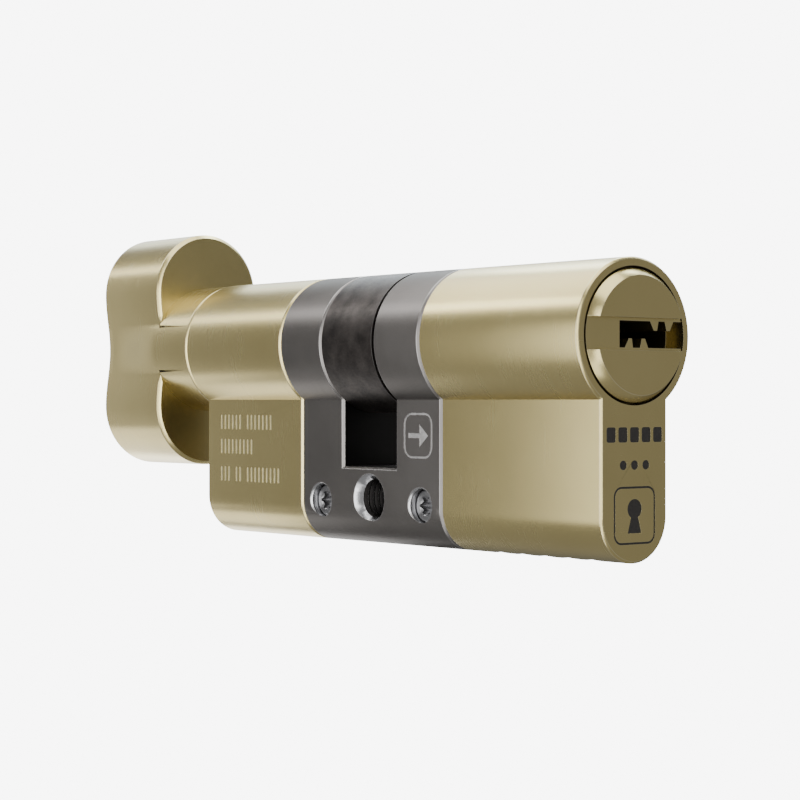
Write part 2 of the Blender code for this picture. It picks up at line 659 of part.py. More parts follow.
def knob_screw(steel):
    """The set screw that holds the knob on the spindle's stub, from below."""
    point = -STUB_R - POCKET / 2
    end = point - KNOB_SCREW_L
    taper = KNOB_SCREW_R / 2
    profile = [(end, KNOB_SCREW_R), (point - taper, KNOB_SCREW_R), (point, KNOB_SCREW_R - taper)]
    at = (BOSS_X - BOSS_L / 2, 0, 0)
    screw = new_object("knob_set_screw", turned(profile, PIN_STEPS, ALONG_Z), steel, at=at)
    socket_r = KNOB_SCREW_SOCKET_R
    socket = turned([(end - EPS, socket_r), (end + KNOB_SCREW_L / 3, socket_r)], HEX_STEPS, ALONG_Z)
    cut(screw, helper("knob_screw_socket", socket, at=at))


def drill_pins(steel):
    """Hardened pins across the front: one above and one below the keyway, and two in the flange."""
    x = EXTERNAL_L - DRILL_PIN_IN
    outer = CORE_R - 2 * RUNNING
    above = KEYWAY_HIGH + WARD_H + RUNNING
    below = KEYWAY_LOW - WARD_H - RUNNING
    for name, low, high in (("upper", above, outer), ("lower", -outer, below)):
        pin = turned([(low, DRILL_PIN_R), (high, DRILL_PIN_R)], PIN_STEPS, ALONG_Z)
        new_object(f"plug_drill_pin_{name}", pin, steel, at=(x, 0, 0))
    for name, drop in zip(("upper", "lower"), BODY_DRILL_PIN_DROPS):
        near = FLANGE_HALF - RUNNING
        pin = turned([(near - BODY_DRILL_PIN_L, DRILL_PIN_R), (near, DRILL_PIN_R)], PIN_STEPS, ALONG_Y)
        at = (EXTERNAL_L - BODY_DRILL_PIN_IN, 0, -drop)
        new_object(f"body_drill_pin_{name}", pin, steel, at=at)


def build():
    clear_scene()
    satin_brass = finish_material("satin_brass", (0.46, 0.38, 0.19), 0.35)
    pin_brass = finish_material("pin_brass", (0.62, 0.49, 0.22), 0.30)
    bridge_steel = finish_material("bridge_steel", (0.20, 0.18, 0.17), 0.38)
    cam_steel = finish_material("cam_steel", (0.09, 0.085, 0.08), 0.55)
    bright_steel = finish_material("bright_steel", (0.55, 0.55, 0.56), 0.28)
    spring_steel = finish_material("spring_steel", (0.50, 0.50, 0.52), 0.25)
    external_body(satin_brass)
    internal_body(satin_brass)
    centre_bridge(bridge_steel)
    clamp_screw("clamp_screw_external", +1, bright_steel)
    clamp_screw("clamp_screw_internal", -1, bright_steel)
    key_plug(satin_brass)
    turn_spindle(satin_brass)
    thumbturn_knob(satin_brass)
    knob_screw(bright_steel)
    clip_x = CLIP_X + RUNNING
    clip("plug_clip", clip_x, spring_steel)
    clip("spindle_clip", -clip_x - CLIP_T, spring_steel)
    cam(cam_steel)
    clutch_dog(bright_steel)
    clutch_spring(spring_steel)
    for i, x in enumerate(PIN_XS):
        pin_stack(i + 1, x, KEY_CUTS[i % len(KEY_CUTS)], pin_brass, spring_steel)
    drill_pins(bright_steel)


build()
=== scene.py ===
"""Looks of the key-and-turn euro cylinder: fine meshes, metals, marks, light and camera.

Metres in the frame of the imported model: +X runs to the key face, -X to the thumbturn, +Z up.
"""

import math

import bmesh
import bpy
from mathutils import Matrix, Vector

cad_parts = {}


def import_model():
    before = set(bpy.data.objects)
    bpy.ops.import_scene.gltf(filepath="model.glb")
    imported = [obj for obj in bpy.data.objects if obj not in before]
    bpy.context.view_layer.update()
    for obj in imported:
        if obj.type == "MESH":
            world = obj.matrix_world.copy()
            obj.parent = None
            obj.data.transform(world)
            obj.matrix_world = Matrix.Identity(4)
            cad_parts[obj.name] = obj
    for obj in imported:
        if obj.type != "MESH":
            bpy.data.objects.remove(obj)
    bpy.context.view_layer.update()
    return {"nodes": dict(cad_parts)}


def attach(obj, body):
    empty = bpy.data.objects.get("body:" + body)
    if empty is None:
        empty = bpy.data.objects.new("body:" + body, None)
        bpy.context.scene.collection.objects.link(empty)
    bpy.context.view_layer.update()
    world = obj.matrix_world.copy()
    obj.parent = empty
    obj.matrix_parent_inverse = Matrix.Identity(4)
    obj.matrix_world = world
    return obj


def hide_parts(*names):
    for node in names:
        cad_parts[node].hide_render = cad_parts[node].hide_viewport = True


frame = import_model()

MM = 0.001

# Sizes of the lock, as in its CAD model.
BARREL_R = 8.5 * MM
FLANGE_HALF = 5.0 * MM
FOOT_Z = -24.5 * MM
EXTERNAL_L = 40.0 * MM
INTERNAL_L = 35.0 * MM
BRIDGE_HALF = 13.6 * MM
SLOT_HALF = 5.1 * MM
SLOT_DEPTH = 15.0 * MM
SEAM = 0.1 * MM
JOINT = 0.02 * MM  # between the bridge and each brass half
CORE_R = 6.5 * MM
BORE_R = 6.6 * MM
HEAD_R = 7.25 * MM
HEAD_BORE_R = 7.5 * MM
HEAD_SEAT_X = 38.2 * MM
HEAD_PROUD = 1.1 * MM
FACE_R = 6.45 * MM
GROOVE_LOW = -1.6 * MM
GROOVE_HIGH = 1.9 * MM
KEYWAY_LOW = -1.305 * MM
KEYWAY_HIGH = 1.565 * MM
KEYWAY_BACK = 2.24 * MM
KEYWAY_END_X = 9.0 * MM
WARD_H = 1.0 * MM
WARDS_BELOW = ((-1.48, -0.88, -0.40, -0.23), (0.80, 1.06, 1.58, 2.07))
WARDS_ABOVE = ((2.33, 2.91, 3.44, 3.66), (4.58, 4.86, 5.40, 5.93))
PIN_XS = [(19.4 + 3.75 * i) * MM for i in range(5)]
PIN_BORE_R = 1.45 * MM
CHAMBER_R = 1.5 * MM
STOPPER_BOTTOM_Z = FOOT_Z + 0.6 * MM
STOPPER_L = 1.5 * MM
TONGUE_L = 7.3 * MM
TONGUE_W = 5.2 * MM
TONGUE_H = 5.8 * MM
FIXING_R = 2.15 * MM
FIXING_RIM = 0.85 * MM
FIXING_RIM_DEPTH = 1.2 * MM
THREAD_DEPTH = 0.3 * MM
THREAD_PITCH = 0.8 * MM
FIXING_Z = -18.8 * MM
CLAMP_X = 9.7 * MM
CLAMP_Z = -19.35 * MM
CLAMP_R = 1.95 * MM
CLAMP_SUNK = 0.9 * MM
CLAMP_L = 3.4 * MM
CLAMP_SOCKET_R = 1.15 * MM
SOCKET_RIM = 0.2 * MM
CAM_HALF = 4.9 * MM
CAM_TIP_R = 14.7 * MM
CAM_ROOT_W = 8.4 * MM
CAM_TIP_W = 6.4 * MM
WEB_HALF = 1.5 * MM
CLIP_X = 5.3 * MM
CLIP_GROOVE_L = 0.9 * MM
CLIP_R = 7.6 * MM
DOG_W = 3.9 * MM
DOG_H = 10.8 * MM
BOSS_X = -35.15 * MM
BOSS_R = 8.4 * MM
KNOB_X = -42.55 * MM
KNOB_L = 14.2 * MM
LOBE_R = 8.05 * MM
LOBE_UP = 7.75 * MM
WAIST_HALF = 7.37 * MM
WAIST_BLEND = 11.5 * MM  # how far along the grip its waist runs out from the boss
STUB_R = 4.05 * MM
STUB_L = 14.3 * MM
KNOB_SCREW_X = -38.85 * MM
KNOB_SCREW_R = 1.55 * MM
DRILL_PIN_R = 0.9 * MM
DRILL_PIN_X = 37.6 * MM
DRILL_PIN_L = 8.0 * MM
DRILL_PIN_DROPS = (10.2 * MM, 13.8 * MM)
PLUG_PIN_X = 37.2 * MM

# Chamfers and rounded edges.
END_BEVEL = 0.25 * MM
BRIDGE_BEVEL = 0.3 * MM
KNOB_BEVEL = 0.45 * MM
EDGE = 0.045 * MM  # on every edge that is cut later
EPS = 1.0 * MM
BIG_FLAT = 1 * MM * MM
MAX_LEAN = math.radians(4)
SQUARE = 0.99  # of a face's normal along an axis
SAME_PLANE = math.radians(0.05)
SHARP = math.radians(30)
SMOOTH_BELOW = math.radians(35)
FINE_EDGE = 0.03 * MM

# Marks, all plain shapes.
MARK_DEPTH = 0.07 * MM
BADGE_MIN = Vector((6.75 * MM, -13.75 * MM))
BADGE_MAX = Vector((11.95 * MM, -8.45 * MM))
BADGE_CORNER_R = 1.4 * MM
BADGE_DEPTH = 0.1 * MM
ARROW = ((-1.7, 0.25), (-1.7, -0.25), (0.3, -0.25), (0.3, -1.25), (1.8, 0.0), (0.3, 1.25), (0.3, 0.25))
LINE_W = 0.2 * MM
BLOCK_PITCH = 1.75 * MM
BLOCK_HALF = 0.66 * MM
BLOCK_LOW_Z = -11.45 * MM
BLOCK_HIGH_Z = -9.85 * MM
BLOCK_CORNER_R = 0.25 * MM
DOT_PITCH = 1.7 * MM
DOT_Z = -13.9 * MM
DOT_R = 0.5 * MM
FRAME_MIN = Vector((-3.1, -22.4)) * MM
FRAME_MAX = Vector((3.1, -16.2)) * MM
FRAME_CORNER_R = 1.1 * MM
KEYHOLE_Z = -18.6 * MM
KEYHOLE_R = 1.05 * MM
KEYHOLE_FOOT_HALF = 1.0 * MM
KEYHOLE_FOOT_Z = -21.2 * MM
TICK_H = 1.9 * MM
TICK_W = 0.32 * MM
TICK_CORNER_R = 0.12 * MM
TICK_PITCH = 0.86 * MM
TICK_ROWS = ((-9.8 * MM, (6, 7)), (-13.0 * MM, (9,)), (-16.6 * MM, (3, 2, 9)))
TICK_START_X = -31.9 * MM

# Flats round a full turn.
ROUND_STEPS = 128
HOLE_STEPS = 48
SCREW_STEPS = 64
FIXING_STEPS = 72

GRIP_STATIONS = 12
CHAMFER_SHARE = 0.8  # most of the grip's inner face that its chamfer may take

# The camera.
CAMERA_AT = (0.200556, -0.160950, -0.006920)
CAMERA_AZIMUTH = 51.286
LENS = 94.82
SENSOR = 36.0

# The pale surroundings, as seen and as light on the metal.
PALE = (0.98, 0.98, 0.98)
PALE_STRENGTH = 8.0
AMBIENT = 0.33
AMBIENT_BEHIND = 0.10

ALONG_X = Matrix(((0, 0, 1), (0, 1, 0), (-1, 0, 0))).to_4x4()
ALONG_Y = Matrix(((1, 0, 0), (0, 0, 1), (0, -1, 0))).to_4x4()
ALONG_Z = Matrix.Identity(4)


# ---------------------------------------------------------------- shapes


def arc(centre_y, centre_z, radius, start, end, steps):
    """Points (y, z) on an arc, ends included, angles in degrees from +Y towards +Z."""
    angles = [math.radians(start + (end - start) * i / steps) for i in range(steps + 1)]
    return [(centre_y + radius * math.cos(a), centre_z + radius * math.sin(a)) for a in angles]


def prism(outline, x0, x1, bevel=0.0):
    """An outline of (y, z) points extruded from x0 to x1, with both end rims bevelled."""
    bm = bmesh.new()
    rings = [[bm.verts.new((x, y, z)) for y, z in outline] for x in (x0, x1)]
    caps = [bm.faces.new(ring) for ring in rings]
    wall(bm, rings)
    if bevel:
        rims = {edge for cap in caps for edge in cap.edges}
        bmesh.ops.bevel(bm, geom=list(rims), offset=bevel, segments=1, affect="EDGES")
    return bm


def wall(bm, rings):
    """Faces between each ring of vertices and the next; rings may share vertices."""
    for lower, upper in zip(rings, rings[1:]):
        count = len(lower)
        for i in range(count):
            j = (i + 1) % count
            corners = list(dict.fromkeys((lower[i], lower[j], upper[j], upper[i])))
            if len(corners) > 2:
                bm.faces.new(corners)


def turned(profile, steps=ROUND_STEPS, direction=ALONG_X):
    """A profile of (distance along the axis, radius) points turned all the way round it."""
    bm = bmesh.new()
    rings = []
    for along, radius in profile:
        angles = [2 * math.pi * i / steps for i in range(steps)]
        points = [Vector((radius * math.cos(a), radius * math.sin(a), along)) for a in angles]
        rings.append([bm.verts.new(direction @ point) for point in points])
    wall(bm, rings)
    bm.faces.new(rings[0])
    bm.faces.new(rings[-1])
    return bm


def box(x0, x1, y0, y1, z0, z1):
    return prism([(y0, z0), (y1, z0), (y1, z1), (y0, z1)], x0, x1)


def rounded_rectangle(low, high, radius, steps=8):
    """Points round a rectangle from corner low to corner high, its corners rounded."""
    (x0, z0), (x1, z1) = low, high
    corners = ((x1 - radius, z1 - radius, 0), (x0 + radius, z1 - radius, 90))
    corners += ((x0 + radius, z0 + radius, 180), (x1 - radius, z0 + radius, 270))
    points = []
    for cx, cz, start in corners:
        points += arc(cx, cz, radius, start, start + 90, steps)
    return points


def solid(name, bm, material=None, at=(0, 0, 0)):
    bmesh.ops.recalc_face_normals(bm, faces=bm.faces)
    mesh = bpy.data.meshes.new(name)
    bm.to_mesh(mesh)
    bm.free()
    if material:
        mesh.materials.append(material)
    made = bpy.data.objects.new(name, mesh)
    made.location = at
    bpy.context.scene.collection.objects.link(made)
    return made


def carve(target, cutters, operation="DIFFERENCE"):
    """Applies each cutter in turn; the faces it leaves keep its own material."""
    for cutter in cutters:
        modifier = target.modifiers.new(cutter.name, "BOOLEAN")
        modifier.operation = operation
        modifier.solver = "MANIFOLD"
        modifier.material_mode = "TRANSFER"
        modifier.object = cutter
        bake_modifiers(target)
        bpy.data.meshes.remove(cutter.data)


def bake_modifiers(target):
    graph = bpy.context.evaluated_depsgraph_get()
    result = bpy.data.meshes.new_from_object(target.evaluated_get(graph))
    target.modifiers.clear()
    stale = target.data
    target.data = result
    result.name = stale.name
    bpy.data.meshes.remove(stale)


def merge_flats(target):
    """Joins faces that lie in one plane and have one material, and marks the sharp outward edges."""
    bm = bmesh.new()
    bm.from_mesh(target.data)
    everything = {"verts": bm.verts, "edges": bm.edges}
    bmesh.ops.dissolve_limit(bm, angle_limit=SAME_PLANE, delimit={"MATERIAL"}, **everything)
    marks = bm.edges.layers.float.new("bevel_weight_edge")
    for edge in bm.edges:
        if len(edge.link_faces) == 2 and edge.calc_face_angle_signed() > SHARP:
            edge[marks] = 1.0
    bm.to_mesh(target.data)
    bm.free()


def round_edges(target, width=EDGE, edge_material=None):
    """Rounds the sharp outward edges, in a lighter edge material if given (worn edges and a painted
    highlight), and smooths the shading.
    """
    merge_flats(target)
    bevel = target.modifiers.new("edges", "BEVEL")
    bevel.width = width
    bevel.segments = 2
    bevel.limit_method = "WEIGHT"
    bevel.use_clamp_overlap = False
    if edge_material:
        target.data.materials.append(edge_material)
        bevel.material = len(target.data.materials) - 1
    bake_modifiers(target)
    target.data.shade_smooth()
    target.data.set_sharp_from_angle(angle=SMOOTH_BELOW)
    weighted = target.modifiers.new("weighted", "WEIGHTED_NORMAL")
    weighted.keep_sharp = True
    bake_modifiers(target)
    straighten_corners(target.data)


def straighten_corners(mesh):
    """Takes bent corner normals off the larger faces, so no shading runs across a flat."""
    normals = [corner.vector.copy() for corner in mesh.corner_normals]
    for face in mesh.polygons:
        if face.area < BIG_FLAT:
            continue
        square = max(abs(part) for part in face.normal) > 0.9999
        for index in face.loop_indices:
            if square or normals[index].angle(face.normal, 0.0) > MAX_LEAN:
                normals[index] = face.normal.copy()
    mesh.normals_split_custom_set(normals)


def paint(target, material, chosen):
    """Gives a material to the faces that a test picks out."""
    target.data.materials.append(material)
    index = len(target.data.materials) - 1
    for face in target.data.polygons:
        if chosen(face):
            face.material_index = index


def piece(target, body, slot, *nodes):
    """Puts a finished mesh on its CAD body, in place of the CAD nodes it stands for."""
    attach(target, body)
    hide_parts(*nodes)


# ---------------------------------------------------------------- materials


def link(tree, source, target):
    tree.links.new(source, target)


def math_node(tree, operation, a, b=None):
    node = tree.nodes.new("ShaderNodeMath")
    node.operation = operation
    for index, value in enumerate((a, b)):
        if value is None:
            continue
        if isinstance(value, (int, float)):
            node.inputs[index].default_value = value
        else:
            link(tree, value, node.inputs[index])
    return node.outputs[0]


def spread(tree, value, low, high, from_low=0.25, from_high=0.75):
    """Maps a 0 to 1 pattern on to the range low to high."""
    node = tree.nodes.new("ShaderNodeMapRange")
    node.inputs["From Min"].default_value = from_low
    node.inputs["From Max"].default_value = from_high
    node.inputs["To Min"].default_value = low
    node.inputs["To Max"].default_value = high
    link(tree, value, node.inputs["Value"])
    return node.outputs["Result"]


def noise(tree, scale, detail=3.0, stretch=(1, 1, 1)):
    """Noise in the piece's own coordinates, with features of 1 / scale metres, stretched along axes."""
    place = tree.nodes.new("ShaderNodeTexCoord")
    mapping = tree.nodes.new("ShaderNodeMapping")
    mapping.inputs["Scale"].default_value = tuple(scale * s for s in stretch)
    link(tree, place.outputs["Object"], mapping.inputs["Vector"])
    texture = tree.nodes.new("ShaderNodeTexNoise")
    texture.inputs["Scale"].default_value = 1.0
    texture.inputs["Detail"].default_value = detail
    link(tree, mapping.outputs["Vector"], texture.inputs["Vector"])
    return texture.outputs["Fac"]


def turning_marks(tree, scale):
    """Fine turning marks: noise that changes only with the distance from the X axis."""
    place = tree.nodes.new("ShaderNodeTexCoord")
    split = tree.nodes.new("ShaderNodeSeparateXYZ")
    link(tree, place.outputs["Object"], split.inputs[0])
    across = math_node(tree, "MULTIPLY", split.outputs["Y"], split.outputs["Y"])
    up = math_node(tree, "MULTIPLY", split.outputs["Z"], split.outputs["Z"])
    radius = math_node(tree, "SQRT", math_node(tree, "ADD", across, up))
    texture = tree.nodes.new("ShaderNodeTexNoise")
    texture.noise_dimensions = "1D"
    texture.inputs["Detail"].default_value = 2.0
    texture.inputs["Scale"].default_value = 1.0
    link(tree, math_node(tree, "MULTIPLY", radius, scale), texture.inputs["W"])
    return texture.outputs["Fac"]


def mix_floats(tree, factor, a, b):
    node = tree.nodes.new("ShaderNodeMix")
    link(tree, factor, node.inputs["Factor"])
    link(tree, a, node.inputs["A"])
    link(tree, b, node.inputs["B"])
    return node.outputs["Result"]


def end_face_factor(tree):
    """1 on faces square to the X axis, 0 on the sides."""
    place = tree.nodes.new("ShaderNodeTexCoord")
    split = tree.nodes.new("ShaderNodeSeparateXYZ")
    link(tree, place.outputs["Normal"], split.inputs[0])
    along = math_node(tree, "ABSOLUTE", split.outputs["X"])
    return spread(tree, along, 0.0, 1.0, 0.75, 0.95)


def two_tones(tree, factor, dark, light):
    ramp = tree.nodes.new("ShaderNodeValToRGB")
    ramp.color_ramp.elements[0].position = 0.3
    ramp.color_ramp.elements[0].color = (*dark, 1)
    ramp.color_ramp.elements[1].position = 0.7
    ramp.color_ramp.elements[1].color = (*light, 1)
    link(tree, factor, ramp.inputs["Fac"])
    return ramp.outputs["Color"]


def metal(name, dark, light, roughness, vary, grain, grain_depth=0, rim=1.0, turning=False):
    """A metal with brushing round the sides and across the ends, uneven sheen and faint colour drift."""
    material = bpy.data.materials.new(name)
    material.use_nodes = True
    tree = material.node_tree
    shader = tree.nodes["Principled BSDF"]
    shader.inputs["Metallic"].default_value = 1.0
    sides = noise(tree, grain, 4.0, (1.0, 0.012, 0.012))
    ends = turning_marks(tree, grain) if turning else noise(tree, grain, 4.0, (0.012, 0.012, 1.0))
    brushed = mix_floats(tree, end_face_factor(tree), sides, ends)
    shader.inputs["Specular Tint"].default_value = (rim, rim, rim, 1.0)
    blotches = noise(tree, 140, 5.0)
    link(tree, two_tones(tree, blotches, dark, light), shader.inputs["Base Color"])
    fine = math_node(tree, "MULTIPLY", brushed, 0.6)
    sheen = math_node(tree, "ADD", fine, math_node(tree, "MULTIPLY", blotches, 0.4))
    uneven = spread(tree, sheen, roughness - vary, roughness + vary, 0.3, 0.7)
    link(tree, uneven, shader.inputs["Roughness"])
    if grain_depth == 0:
        return material
    pits = noise(tree, grain * 0.6, 2.0)
    height = math_node(tree, "ADD", brushed, math_node(tree, "MULTIPLY", pits, 0.3))
    bump = tree.nodes.new("ShaderNodeBump")
    bump.inputs["Strength"].default_value = 1.0
    bump.inputs["Distance"].default_value = grain_depth
    link(tree, height, bump.inputs["Height"])
    link(tree, bump.outputs["Normal"], shader.inputs["Normal"])
    return material


def cast_metal(name, dark, light, roughness, vary, lump, depth):
    """A dull, mottled metal with a pitted skin and no brushing."""
    material = bpy.data.materials.new(name)
    material.use_nodes = True
    tree = material.node_tree
    shader = tree.nodes["Principled BSDF"]
    shader.inputs["Metallic"].default_value = 1.0
    blotches = noise(tree, lump * 0.4, 6.0)
    grain = noise(tree, lump * 4, 4.0)
    link(tree, two_tones(tree, blotches, dark, light), shader.inputs["Base Color"])
    link(tree, spread(tree, grain, roughness - vary, roughness + vary), shader.inputs["Roughness"])
    bump = tree.nodes.new("ShaderNodeBump")
    bump.inputs["Strength"].default_value = 1.0
    bump.inputs["Distance"].default_value = depth
    link(tree, grain, bump.inputs["Height"])
    link(tree, bump.outputs["Normal"], shader.inputs["Normal"])
    return material


def mark_material(name, dark, light, roughness, metallic):
    """The rough floor of an engraved mark."""
    material = bpy.data.materials.new(name)
    material.use_nodes = True
    tree = material.node_tree
    shader = tree.nodes["Principled BSDF"]
    shader.inputs["Metallic"].default_value = metallic
    speckle = noise(tree, 6000, 3.0)
    link(tree, two_tones(tree, speckle, dark, light), shader.inputs["Base Color"])
    link(tree, spread(tree, speckle, roughness - 0.1, roughness + 0.1), shader.inputs["Roughness"])
    return material


BRASS_DARK = (0.590, 0.492, 0.222)
BRASS_LIGHT = (0.622, 0.522, 0.242)
BRASS = metal("satin_brass", BRASS_DARK, BRASS_LIGHT, 0.27, 0.006, 5200)
# Brass bevels: smoother worn edges, their base colour lifted above the brass as a painted highlight.
BRASS_EDGE_WEAR_AND_HIGHLIGHT = metal("brass_edge_wear_and_painted_highlight", (0.68, 0.59, 0.33), (0.74, 0.65, 0.39), 0.24, 0.006, 4000)
PLUG_BRASS = metal("plug_brass", BRASS_DARK, BRASS_LIGHT, 0.26, 0.006, 5200, turning=True)
BRIDGE = metal("bridge_steel", (0.185, 0.173, 0.164), (0.210, 0.197, 0.187), 0.36, 0.02, 5200, rim=0.5)
# Bridge bevels: worn steel, their colour lifted well above the bridge's as a painted highlight.
BRIDGE_EDGE_WEAR_AND_HIGHLIGHT = metal("bridge_edge_wear_and_painted_highlight", (0.34, 0.33, 0.32), (0.44, 0.43, 0.42), 0.27, 0.03, 4000)
CAM = cast_metal("cam_steel", (0.030, 0.026, 0.024), (0.085, 0.075, 0.069), 0.40, 0.08, 1100, 0.000006)
# Cam bevels: worn edges, their colour lifted above the cam's as a painted highlight.
CAM_EDGE_WEAR_AND_HIGHLIGHT_DARK = (0.08, 0.078, 0.075)
CAM_EDGE_WEAR_AND_HIGHLIGHT_LIGHT = (0.16, 0.155, 0.15)
CAM_EDGE_WEAR_AND_HIGHLIGHT = cast_metal("cam_edge_wear_and_painted_highlight", CAM_EDGE_WEAR_AND_HIGHLIGHT_DARK, CAM_EDGE_WEAR_AND_HIGHLIGHT_LIGHT, 0.35, 0.08, 500, 0.000004)
# Near-black bridge steel for its bore, clip recess, fixing hole and slot walls: painted shade in the
# recesses.
BRIDGE_SHADE = metal("bridge_steel_painted_shade", (0.020, 0.019, 0.018), (0.032, 0.030, 0.029), 0.42, 0.03, 5200)
# Dark brass for bores, pin chambers, pin bores and the keyway: painted shade in the recesses.
RECESS_SHADE_BRASS = metal("brass_painted_recess_shade", (0.20, 0.160, 0.064), (0.25, 0.200, 0.082), 0.38, 0.03, 5200)
# Darker brass for the grip's inner face, towards the body: painted shade.
LOBE_SHADE_BRASS = metal("lobe_brass_painted_shade", (0.44, 0.365, 0.165), (0.47, 0.390, 0.180), 0.30, 0.006, 5200)
# Near-black brass for the turn-side end face behind the knob: painted shade between body and knob.
GAP_SHADE_BRASS = metal("brass_painted_gap_shade", (0.085, 0.070, 0.035), (0.11, 0.090, 0.045), 0.38, 0.03, 5200)
SCREW = metal("screw_steel", (0.26, 0.26, 0.265), (0.33, 0.33, 0.335), 0.28, 0.03, 4000, 0.0000002)
BRIGHT = metal("bright_steel", (0.50, 0.50, 0.51), (0.58, 0.58, 0.59), 0.24, 0.03, 4000, 0.0000004)
SPRING = metal("spring_steel", (0.46, 0.46, 0.48), (0.55, 0.55, 0.57), 0.25, 0.05, 5000, 0.0000008)
PIN_BRASS = metal("pin_brass", (0.62, 0.50, 0.23), (0.70, 0.57, 0.28), 0.28, 0.05, 5000, 0.0000010)
MARK_BLACK = mark_material("mark_black", (0.018, 0.016, 0.014), (0.035, 0.032, 0.028), 0.55, 0.0)
# Etched strokes: rough floors, their colour also lifted above the brass as a painted highlight.
MARK_ETCH_AND_HIGHLIGHT = mark_material("mark_etched_brass_and_painted_highlight", (0.72, 0.66, 0.43), (0.84, 0.78, 0.54), 0.5, 1.0)
MARK_STEEL = mark_material("mark_etched_steel", (0.46, 0.45, 0.44), (0.58, 0.57, 0.56), 0.5, 1.0)


# ---------------------------------------------------------------- marks


def on_end_face(name, outline):
    """A cutter for the key face from an outline of (y, z) points."""
    return solid(name, prism(outline, EXTERNAL_L - MARK_DEPTH, EXTERNAL_L + EPS), MARK_BLACK)


def on_side(name, outline, material, depth=MARK_DEPTH):
    """A cutter for the flange's -Y side from an outline of (x, z) points."""
    bm = bmesh.new()
    loops = []
    for y in (-FLANGE_HALF - EPS, -FLANGE_HALF + depth):
        loops.append([bm.verts.new((x, y, z)) for x, z in outline])
    wall(bm, loops)
    bm.faces.new(loops[0])
    bm.faces.new(loops[1])
    return solid(name, bm, material)


def frame_cutter(low, high, radius, make, axis):
    """A thin closed line round a rounded rectangle, made by the given function, cut in along an axis."""
    outer = make("frame", rounded_rectangle(low, high, radius))
    inset = Vector((LINE_W, LINE_W))
    inner = make("frame_inner", rounded_rectangle(low + inset, high - inset, radius - LINE_W))
    for vertex in inner.data.vertices:
        away = -1 if vertex.index < len(inner.data.vertices) // 2 else 1
        vertex.co += axis * (EPS * away)
    carve(outer, [inner])
    return outer


def on_bridge(name, outline):
    """A cutter for the bridge's -Y side."""
    return on_side(name, outline, MARK_STEEL, BADGE_DEPTH)


def end_face_marks():
    """Five plain blocks, three dots, and a keyhole in a rounded frame."""
    cutters = []
    for i in range(5):
        y = (i - 2) * BLOCK_PITCH
        low, high = (y - BLOCK_HALF, BLOCK_LOW_Z), (y + BLOCK_HALF, BLOCK_HIGH_Z)
        cutters.append(on_end_face("block", rounded_rectangle(low, high, BLOCK_CORNER_R, 4)))
    for i in range(3):
        cutters.append(on_end_face("dot", arc((i - 1) * DOT_PITCH, DOT_Z, DOT_R, 0, 345, 23)))
    frame_line = frame_cutter(FRAME_MIN, FRAME_MAX, FRAME_CORNER_R, on_end_face, Vector((1, 0, 0)))
    bow = arc(0, KEYHOLE_Z, KEYHOLE_R, -60, 240, 30)
    foot = [(-KEYHOLE_FOOT_HALF, KEYHOLE_FOOT_Z), (KEYHOLE_FOOT_HALF, KEYHOLE_FOOT_Z)]
    return cutters + [frame_line, on_end_face("keyhole", bow + foot)]


def badge_marks():
    """A rounded frame with an arrow to the key side."""
    frame_line = frame_cutter(BADGE_MIN, BADGE_MAX, BADGE_CORNER_R, on_bridge, Vector((0, 1, 0)))
    middle = (BADGE_MIN + BADGE_MAX) / 2
    outline = [(middle.x + x * MM, middle.y + z * MM) for x, z in ARROW]
    return [frame_line, on_bridge("arrow", outline)]


def tick_marks():
    """Three rows of short upright strokes."""
    cutters = []
    for z, groups in TICK_ROWS:
        x = TICK_START_X
        for count in groups:
            for _ in range(count):
                low, high = (x, z - TICK_H / 2), (x + TICK_W, z + TICK_H / 2)
                stroke = rounded_rectangle(low, high, TICK_CORNER_R, 2)
                cutters.append(on_side("tick", stroke, MARK_ETCH_AND_HIGHLIGHT))
                x += TICK_PITCH
            x += TICK_PITCH
    return cutters


# ---------------------------------------------------------------- pieces


def euro_outline(inset=0.0):
    """The euro profile, or the same drawn in by an inset on all sides."""
    barrel_r, foot_r = BARREL_R - inset, FLANGE_HALF - inset
    join_angle = math.degrees(math.acos(foot_r / barrel_r))
    barrel = arc(0, 0, barrel_r, -join_angle, 180 + join_angle, 104)
    return barrel + arc(0, FOOT_Z + FLANGE_HALF, foot_r, 180, 360, 64)


def half_mesh(x0, x1):
    """The euro profile from x0 to x1, with a flat chamfer round each end."""
    bm = bmesh.new()
    rings = []
    for x, inset in ((x0, END_BEVEL), (x0 + END_BEVEL, 0.0), (x1 - END_BEVEL, 0.0), (x1, END_BEVEL)):
        rings.append([bm.verts.new((x, y, z)) for y, z in euro_outline(inset)])
    wall(bm, rings)
    bm.faces.new(rings[0])
    bm.faces.new(rings[-1])
    return bm


def tongue(side, grow=0.0):
    inner = BRIDGE_HALF - TONGUE_L - grow
    half_w, half_h = TONGUE_W / 2 + grow, TONGUE_H / 2 + grow
    x0, x1 = sorted((side * inner, side * (BRIDGE_HALF + EPS)))
    return box(x0, x1, -half_w, half_w, CLAMP_Z - half_h, CLAMP_Z + half_h)


